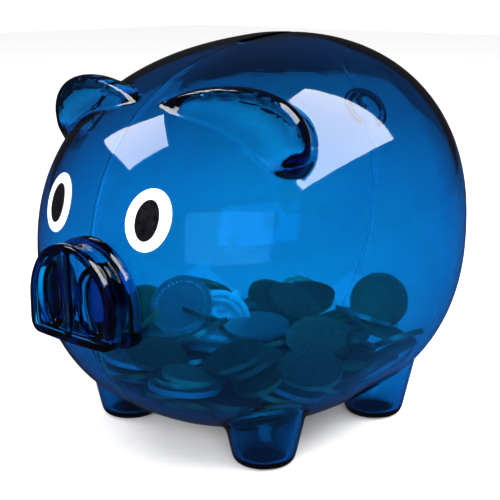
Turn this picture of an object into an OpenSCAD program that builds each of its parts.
// Pig money bank: two clear moulded half shells welded on the centre plane, with a
// coin slot along the back, a soft stopper in the belly, printed eyes and loose coins.
// The nose points to -Y, the pig's left flank to +X, and the feet stand on Z = 0.

/* [Body] */
// Width across both flanks
body_w = 160; // [140:1:190]
// From the widest section forward to the front of the head
body_front = 103; // [92:1:124]
// From the widest section back to the rump
body_rear = 67; // [58:1:80]
// From the middle of the widest section up to the crown
body_rise = 77; // [68:1:92]
// From the middle of the widest section down to the belly
body_drop = 74; // [66:1:88]
// Clear height under the belly
belly_gap = 5.4; // [5:0.1:10]
// Climb of the body's axis towards the tail, per unit of length
body_slope = 0.08; // [0:0.01:0.12]
// Thickness of the moulded wall
wall = 2.2; // [1.8:0.1:2.8]

/* [Centre seam] */
// How far the left half's tongue reaches into the right half
tongue_len = 1.6; // [1:0.1:2.4]
// Play around the tongue and under the stopper's flange
seam_gap = 0.15; // [0.1:0.05:0.3]

/* [Ears] */
// Distance of the ears' ridges in front of the widest section
ear_forward = 65; // [58:1:72]
// How much further forward the ridges start, at the middle of the head
ear_sweep = 9; // [5:1:14]
// How far the tip stands out from the head, sideways
ear_out = 15; // [10:1:20]
// How far the tip stands out from the head, upwards
ear_up = 9; // [5:1:14]
// Radius of the rounded ridge
ear_r = 4.2; // [3.6:0.1:5]
// Reach of the ear's front slope
ear_front_run = 9; // [7:1:12]
// Reach of the ear's back slope
ear_back_run = 26; // [20:1:32]

/* [Snout] */
// Width of the snout's rim
snout_w = 44.5; // [38:0.5:50]
// How far the rim stands in front of the head
snout_reach = 12; // [10:1:16]
// Height of the rim's half-round centre above the floor
snout_z = 66; // [60:1:72]
// From that centre down to the flat lower edge
snout_drop = 13; // [10:1:16]
// Width of the raised border round the snout's face
snout_border = 2.6; // [2:0.1:4]
// Depth of the face inside the border
face_depth = 1.4; // [1:0.1:2]
// Width of one nostril
nostril_w = 13; // [10:1:15]
// Height of one nostril
nostril_h = 22; // [16:1:24]
// Depth of a nostril below the face
nostril_depth = 4; // [2:0.5:5]

/* [Feet] */
// Distance between the centres of a left and a right foot
foot_track = 75; // [64:1:84]
// Front feet's distance in front of the widest section
front_foot = 53; // [46:1:60]
// Rear feet's distance behind the widest section
rear_foot = 16; // [10:1:22]
// Diameter of a sole
sole_d = 23; // [18:1:28]
// Widening of a foot from the sole up, per unit of height
foot_flare = 0.22; // [0.1:0.01:0.3]

/* [Coin slot] */
// Length of the slot
slot_len = 38; // [34:1:44]
// Width of the slot
slot_w = 5.2; // [4.8:0.1:6]
// Distance of the slot's middle in front of the widest section
slot_forward = 6; // [0:1:14]

/* [Belly stopper] */
// Bore of the stopper's collar in the belly
port_bore_d = 38; // [34:1:42]
// Play between the stopper's ribs and the bore, on the radius
plug_gap = 0.15; // [0.1:0.05:0.3]
// Distance of the stopper in front of the widest section
port_forward = 18; // [14:1:24]
// Height of the collar
collar_h = 6; // [5:0.5:9]
// Thickness of the stopper's flange
flange_t = 1.8; // [1.4:0.1:2.2]
// Overhang of the flange beyond the bore
flange_lip = 3.4; // [2.5:0.1:4.5]
// Width of the finger bar across the stopper
grip_w = 5; // [4:0.5:7]

/* [Eyes] */
// Width of the white
eye_w = 17.5; // [14:0.5:20]
// Height of the white
eye_h = 21; // [17:0.5:24]
// Width of the pupil
pupil_w = 9.2; // [7:0.2:11]
// Height of the pupil
pupil_h = 14; // [10:0.5:16]
// Distance of an eye's middle from the centre plane
eye_x = 24; // [20:1:28]
// Height of an eye's middle above the floor
eye_z = 97.5; // [92:0.5:104]
// Thickness of one printed layer
ink_t = 0.25; // [0.2:0.05:0.4]

/* [Tail] */
// Radius of the moulded tail's curl
tail_r = 9; // [7:0.5:11]
// Radius of the tail's bead
tail_bead_r = 2; // [1.5:0.1:2.5]
// Height of the curl's middle above the floor
tail_z = 122; // [112:1:128]

/* [Coins] */
// Diameter of a large coin
large_coin_d = 27; // [24:1:30]
// Diameter of a medium coin
medium_coin_d = 24; // [21:1:26]
// Diameter of a small coin
small_coin_d = 20; // [17:1:22]
// Thickness of every coin
coin_t = 1.9; // [1.5:0.1:2.4]

/* [Hidden] */
$fn = 96;

// A squared ellipsoid: these exponents say how square each section is, 2 being round.
front_square = 2.48;
rear_square = 1.9;
cross_square = 2.27;

mid_z = belly_gap + body_drop;
half_w = body_w / 2;
collar_rim = 1.6;
collar_r = port_bore_d / 2 + flange_lip + collar_rim;
big = 400;

// Steps of the shell's facets along and around the body
skin_rings = 26;
skin_steps = 20;
pole_angle = 86;

function bulge(c, square) = sign(c) * pow(abs(c), 2 / square);
function reach(y, inset) = (y < 0 ? body_front : body_rear) - inset;
function axis_z(y) = mid_z + body_slope * y;

// Size of the cross-section at y, as a share of the widest one
function share(y, inset) =
    let (square = y < 0 ? front_square : rear_square)
    pow(max(0, 1 - pow(min(1, abs(y) / reach(y, inset)), square)), 1 / square);

// The point of the skin at y and at an angle of -90 (belly) to 90 (crown)
function skin(y, angle, inset) =
    let (s = share(y, inset), h = (angle < 0 ? body_drop : body_rise) - inset)
    [(half_w - inset) * s * bulge(cos(angle), cross_square), y,
     axis_z(y) + h * s * bulge(sin(angle), cross_square)];

// Height of the belly's skin above the floor at x and y
function belly_z(x, y, inset) =
    let (s = share(y, inset), u = abs(x) / ((half_w - inset) * s))
    axis_z(y) - (body_drop - inset) * s
        * pow(1 - pow(u, cross_square), 1 / cross_square);

function ring_y(i, inset) =
    let (a = -pole_angle + 2 * pole_angle * i / skin_rings)
    reach(a, inset) * bulge(sin(a), a < 0 ? front_square : rear_square);

// Moves the part along Y so that its outer box stands centred on the origin.
stand_y = (body_front + snout_reach - ring_y(skin_rings, 0)) / 2;

module stood() {
    translate([0, stand_y, 0]) children();
}

function step_angle(j) = -90 + 180 * j / skin_steps;

// A solid from rows of points: each row is a closed outline with n points. From the
// column turned on, a square of four points is split along its other diagonal.
module loft(rows, turned = 1000) {
    n = len(rows[0]);
    last = len(rows) - 1;
    sides = [for (i = [0 : last - 1], j = [0 : n - 1])
        let (a = i * n + j, b = i * n + (j + 1) % n)
        each j < turned ? [[a, b, b + n], [a, b + n, a + n]]
                        : [[a, b, a + n], [b, b + n, a + n]]];
    first_cap = [for (j = [n - 1 : -1 : 0]) j];
    last_cap = [for (j = [0 : n - 1]) last * n + j];
    polyhedron([for (row = rows) each row], concat(sides, [first_cap, last_cap]), 4);
}

// Left half of the body; over carries it across the centre plane.
module half_body(inset, over) {
    loft([for (i = [0 : skin_rings])
        let (y = ring_y(i, inset),
             arc = [for (j = [0 : skin_steps]) skin(y, step_angle(j), inset)],
             bottom = arc[0], top = arc[skin_steps])
        over == 0 ? arc
            : concat([[-over, y, bottom[2]]], arc, [[-over, y, top[2]]])]);
}

// The body's outline on the centre plane, in Y and Z
function seam_outline(inset) = concat(
    [for (i = [0 : skin_rings]) let (p = skin(ring_y(i, inset), 90, inset)) [p[1], p[2]]],
    [for (i = [skin_rings : -1 : 0]) let (p = skin(ring_y(i, inset), -90, inset)) [p[1], p[2]]]);

// A band of the wall at the seam, from outer to inner, reaching from x0 to x1
module seam_band(outer, inner, x0, x1) {
    translate([x0, 0, 0]) rotate([90, 0, 90]) linear_extrude(x1 - x0) difference() {
        polygon(seam_outline(outer));
        polygon(seam_outline(inner));
    }
}

// Where the tongue stops: at the snout's mouth, the slot and the stopper's collar
module seam_breaks(gap) {
    mouth = snout_w + 2 * gap;
    translate([-mouth / 2, -body_front - snout_reach, snout_z - snout_drop - gap])
        cube([mouth, snout_reach + body_front / 3, snout_drop + snout_w / 2 + 2 * gap]);
    slot_cut(gap);
    translate([0, -port_forward, 0]) cylinder(r = collar_r + gap, h = mid_z);
}

// --- Ears -----------------------------------------------------------------
ear_inner_angle = 87;
ear_outer_angle = 31;
ear_tip_angle = 46;
ear_stations = 14;
ear_tip = skin(-ear_forward, ear_tip_angle, 0) + [ear_out, 0, ear_up];
ear_pull_in = [-17, 0, 17];
ear_pull_out = [15, 0, 7];
// Each end of the ridge dips this far under the skin, and the ear is rooted deeper.
ear_dip = 1.5;
ear_root = 9;
ear_sunk = 1.2;
// The slopes' middle points, as shares of the rise and of the radius or the run
front_rise = 0.49;
front_hollow = 0.55;
back_rise = 0.46;
back_bulge = 0.38;
// The rounded rim's section, as shares of its radius: back along Y, and down
rim_section = [[-1, 0.45], [-0.35, 0], [0.45, 0], [1.15, 0.5]];
// Near its ends the rim is as thin as this share of its height.
rim_taper = 0.6;

// The ridge's line on the head, seen from above
function ear_line(t) = -ear_forward - ear_sweep * pow(1 - t, 2);

function curve(p, t) = pow(1 - t, 3) * p[0] + 3 * t * pow(1 - t, 2) * p[1]
    + 3 * t * t * (1 - t) * p[2] + pow(t, 3) * p[3];

// One section across the ear, from its front foot over the ridge to its back foot
function ear_row(t, inset) =
    let (angle = ear_inner_angle + (ear_outer_angle - ear_inner_angle) * t,
         y = ear_line(t), base = skin(y, angle, ear_dip + 1),
         first = skin(ear_line(0), ear_inner_angle, ear_dip),
         last = skin(ear_line(1), ear_outer_angle, ear_dip),
         ridge = curve([first, ear_tip + ear_pull_in, ear_tip + ear_pull_out, last], t),
         rise = ridge - base, up = rise / norm(rise),
         r = min(ear_r, rim_taper * norm(rise)) - inset, crest = ridge - inset * up,
         sunk = ear_sunk + 1.5 * inset)
    concat(
        [skin(y - ear_front_run + inset, angle, sunk),
         base + front_rise * rise - [0, r * front_hollow, 0] - inset * up],
        [for (p = rim_section) crest + [0, p[0] * r, 0] - p[1] * r * up],
        [base + back_rise * rise + [0, ear_back_run * back_bulge, 0] - inset * up,
         skin(y + ear_back_run - inset, angle, sunk),
         skin(y, angle, ear_root)]);

module ear(inset) {
    from = inset > 0 ? 2 : 0;
    loft([for (i = [from : ear_stations - from]) ear_row(i / ear_stations, inset)]);
}

// --- Snout ----------------------------------------------------------------
snout_y = -body_front - snout_reach;
snout_corner = 5;
snout_round = 200;
rim_len = 5;
waist_len = 4;
tier_step = 0.9;
seam_bar = 3.2;
snout_embed = 0.12 * body_front;
hollow_embed = 0.14 * body_front;
nostril_x = (snout_w / 2 + seam_bar / 4) / 2;
nostril_z = 2.4;

module snout_outline(grow) {
    r = snout_w / 2 + grow;
    low = snout_drop + grow;
    intersection() {
        circle(r);
        translate([-r, 0]) square([2 * r, r]);
    }
    translate([-r, snout_corner - low]) square([2 * r, low - snout_corner]);
    translate([snout_corner - r, -low]) square([2 * (r - snout_corner), low]);
    for (side = [-1, 1])
        translate([side * (r - snout_corner), snout_corner - low]) circle(snout_corner);
}

// Carries an outline drawn in X and Z back from y0 to y1
module from_front(y0, y1) {
    translate([0, y1, snout_z]) rotate([90, 0, 0]) linear_extrude(y1 - y0) children();
}

module half_plane(x0) {
    translate([x0, -big / 2]) square([big, big]);
}

module nostril_outline(grow) {
    translate([nostril_x, nostril_z])
        scale([nostril_w / 2 + grow, nostril_h / 2 + grow]) circle(1);
}

// The front of the snout, rounded in plan
module snout_bow(setback) {
    translate([0, snout_y + snout_round + setback, 0]) cylinder(r = snout_round, h = big);
}

module half_snout() {
    intersection() {
        union() {
            from_front(snout_y, snout_y + rim_len)
                intersection() { snout_outline(0); half_plane(0); }
            from_front(snout_y + rim_len, snout_y + rim_len + waist_len)
                intersection() { snout_outline(-tier_step); half_plane(0); }
            from_front(snout_y + rim_len + waist_len, -body_front + snout_embed)
                intersection() { snout_outline(tier_step); half_plane(0); }
        }
        snout_bow(0);
    }
}

// The sunk face inside the border, and the nostril below it
module half_snout_face() {
    difference() {
        from_front(snout_y - 1, snout_y + rim_len)
            intersection() { snout_outline(-snout_border); half_plane(seam_bar / 2); }
        snout_bow(face_depth);
    }
    intersection() {
        from_front(snout_y, snout_y + rim_len + waist_len)
            intersection() {
                nostril_outline(0);
                snout_outline(-snout_border);
                half_plane(seam_bar / 2);
            }
        difference() {
            cube(2 * big, center = true);
            snout_bow(face_depth + nostril_depth);
        }
    }
}

// The hollow behind the face, leaving a wall round each nostril
module half_snout_hollow() {
    difference() {
        from_front(snout_y, -body_front + hollow_embed)
            intersection() { snout_outline(-wall - tier_step); half_plane(-1); }
        difference() {
            cube(2 * big, center = true);
            snout_bow(face_depth + wall);
        }
        intersection() {
            from_front(snout_y, snout_y + rim_len + waist_len + nostril_depth)
                nostril_outline(wall);
            difference() {
                cube(2 * big, center = true);
                snout_bow(face_depth + nostril_depth + wall);
            }
        }
    }
}

// --- Feet -----------------------------------------------------------------
sole_edge = 2.5;
foot_embed = 3;
foot_margin = 5;

module foot(x, y, inset) {
    top = belly_z(abs(x) + sole_d / 2 + foot_margin, y, 0) + foot_embed;
    low = inset;
    r0 = sole_d / 2 - inset;
    r1 = sole_d / 2 + top * foot_flare - inset;
    edge = inset > 0 ? sole_edge / 2 : sole_edge;
    translate([x, y, 0]) rotate_extrude() {
        polygon([[0, low], [r0 - edge, low], [r0, low + edge], [r1, top], [0, top]]);
        intersection() {
            translate([r0 - edge, low + edge]) circle(edge);
            translate([0, low]) square([r0, edge]);
        }
    }
}

module left_feet(inset) {
    foot(foot_track / 2, -front_foot, inset);
    foot(foot_track / 2, rear_foot, inset);
}

// --- Slot and stopper's collar ------------------------------------------------
port_flat = 0.8;
port_face = belly_z(0, -port_forward, 0) + port_flat;
bore_r = port_bore_d / 2;

module slot_cut(gap) {
    translate([-slot_w / 2 - gap, -slot_forward - slot_len / 2 - gap, mid_z])
        cube([slot_w + 2 * gap, slot_len + 2 * gap, body_rise + 20]);
}

module half_collar() {
    translate([0, -port_forward, port_face]) intersection() {
        cylinder(r = collar_r, h = collar_h);
        translate([0, -big / 2, -1]) cube([big, big, big]);
    }
}

module port_cut() {
    translate([0, -port_forward, 0]) {
        cylinder(r = bore_r, h = mid_z / 2);
        cylinder(r = collar_r, h = port_face);
    }
}

// --- Tail -----------------------------------------------------------------
// y of the rump's skin on the centre plane at height z
function rump_y(z, y = 0, n = 24) =
    n == 0 ? y : rump_y(z, body_rear * pow(max(0, 1 - pow((z - axis_z(y)) / body_rise,
        rear_square)), 1 / rear_square), n - 1);

tail_sunk = 0.35 * tail_bead_r;
tail_gap = 60;

module half_tail() {
    y0 = rump_y(tail_z);
    lean = atan2(rump_y(tail_z - 1) - rump_y(tail_z + 1), 2);
    intersection() {
        translate([0, y0 - tail_sunk, tail_z]) rotate([90 + lean, 0, 0]) {
            rotate([0, 0, -tail_gap]) rotate_extrude(angle = 360 - tail_gap)
                translate([tail_r, 0]) circle(tail_bead_r);
            rotate([0, 0, tail_gap]) translate([tail_r / 2, 0, 0])
                rotate_extrude(angle = 180) translate([tail_r / 2, 0]) circle(tail_bead_r);
        }
        cube([big, big, big]);
    }
}

// --- Shells ---------------------------------------------------------------
module half_shell() {
    difference() {
        union() {
            difference() {
                union() {
                    half_body(0, 0);
                    ear(0);
                    half_snout();
                    left_feet(0);
                }
                half_body(wall, 1);
                ear(wall);
                half_snout_hollow();
                left_feet(wall);
            }
            half_collar();
            half_tail();
        }
        half_snout_face();
        slot_cut(0);
        port_cut();
    }
}

module left_shell() {
    color([0.0, 0.33, 0.66, 0.6]) stood() {
        half_shell();
        difference() {
            seam_band(wall / 2 + seam_gap, wall, -tongue_len, 0);
            seam_breaks(0);
        }
    }
}

module right_shell() {
    color([0.0, 0.30, 0.62, 0.6]) stood() difference() {
        mirror([1, 0, 0]) half_shell();
        difference() {
            seam_band(wall / 2, wall + 1, -tongue_len - seam_gap, 1);
            seam_breaks(-seam_gap);
        }
    }
}

// --- Stopper --------------------------------------------------------------
plug_above = 1.5;
plug_skirt = 2.4;
plug_roof = 2;
rib_out = 0.5;
rib_h = 1.2;
rib_low = [1.2, 3.4];

module belly_stopper() {
    plug_r = bore_r - plug_gap;
    top = collar_h + plug_above;
    color([0.06, 0.10, 0.20]) stood() translate([0, -port_forward, port_face - seam_gap]) {
        difference() {
            union() {
                translate([0, 0, -flange_t]) cylinder(r = bore_r + flange_lip, h = flange_t);
                cylinder(r = plug_r - rib_out, h = top);
                for (z = rib_low) translate([0, 0, z]) cylinder(r = plug_r, h = rib_h);
            }
            translate([0, 0, -flange_t - 1]) difference() {
                cylinder(r = plug_r - plug_skirt, h = top + flange_t + 1 - plug_roof);
                translate([-grip_w / 2, -big / 2, 0]) cube([grip_w, big, big]);
            }
        }
    }
}

// --- Eyes -----------------------------------------------------------------
// A patch of the skin between two heights, over the eye's part of the head
module skin_patch(high, low) {
    first = 11;
    last = 18;
    loft([for (i = [1 : 8])
        concat([for (j = [first : last]) skin_at(i, j, high)],
               [for (j = [last : -1 : first]) skin_at(i, j, low)])],
        last - first + 1);
}

// A grid point of the body's skin, moved out along the skin's normal
function skin_at(i, j, out) =
    let (y = ring_y(i, 0), a = step_angle(j), p = skin(y, a, 0),
         along = skin(ring_y(i + 1, 0), a, 0) - skin(ring_y(i - 1, 0), a, 0),
         around = skin(y, a + 1, 0) - skin(y, a - 1, 0),
         n = cross(along, around))
    p + out * n / norm(n);

// Ink between two heights above the skin, inside an upright oval
module eye_layer(w, h, low, high) {
    intersection() {
        skin_patch(high, low);
        translate([eye_x, 0, eye_z]) rotate([90, 0, 0]) linear_extrude(big)
            scale([w / 2, h / 2]) circle(1);
    }
}

module left_eye_white() {
    color("white") stood() eye_layer(eye_w, eye_h, 0, ink_t);
}

module left_eye_pupil() {
    color([0.02, 0.02, 0.03]) stood() eye_layer(pupil_w, pupil_h, ink_t, 2 * ink_t);
}

module right_eye_white() {
    mirror([1, 0, 0]) left_eye_white();
}

module right_eye_pupil() {
    mirror([1, 0, 0]) left_eye_pupil();
}

// --- Coins ----------------------------------------------------------------
coin_levels = 6;
coin_pitch_z = 3.4;
coin_clear = 2;
coin_above = 6;
coin_low = port_face + collar_h + coin_above;
coin_y = -port_forward;

// Is a disc of radius r at x, y and height z inside the hollow?
function coin_fits(x, y, z, r) =
    min([for (a = [0 : 30 : 330])
        let (px = x + r * cos(a), py = y + r * sin(a), s = share(py, wall + coin_clear))
        abs(px) < 0.98 * (half_w - wall) * s
            ? z - belly_z(px, py, wall + coin_clear) : -1]) > 0;

// Every third level holds coins of one size, a middle one with rings around it.
module coin_group(d, first_level) {
    pitch = d + 1;
    for (level = [first_level : 3 : coin_levels - 1])
        let (z = coin_low + level * coin_pitch_z, turn = level * 23)
            for (ring = [0 : 2], k = [0 : max(0, 6 * ring - 1)])
                let (a = turn + (ring == 0 ? 0 : k * 60 / ring),
                     x = ring * pitch * cos(a), y = coin_y + ring * pitch * sin(a))
                    if (coin_fits(x, y, z, d / 2))
                        translate([x, y, z]) cylinder(d = d, h = coin_t);
}

module large_coins() {
    color("silver") stood() coin_group(large_coin_d, 0);
}

module medium_coins() {
    color([0.72, 0.45, 0.28]) stood() coin_group(medium_coin_d, 1);
}

module small_coins() {
    color([0.80, 0.68, 0.35]) stood() coin_group(small_coin_d, 2);
}

left_shell();
right_shell();
belly_stopper();
left_eye_white();
left_eye_pupil();
right_eye_white();
right_eye_pupil();
large_coins();
medium_coins();
small_coins();
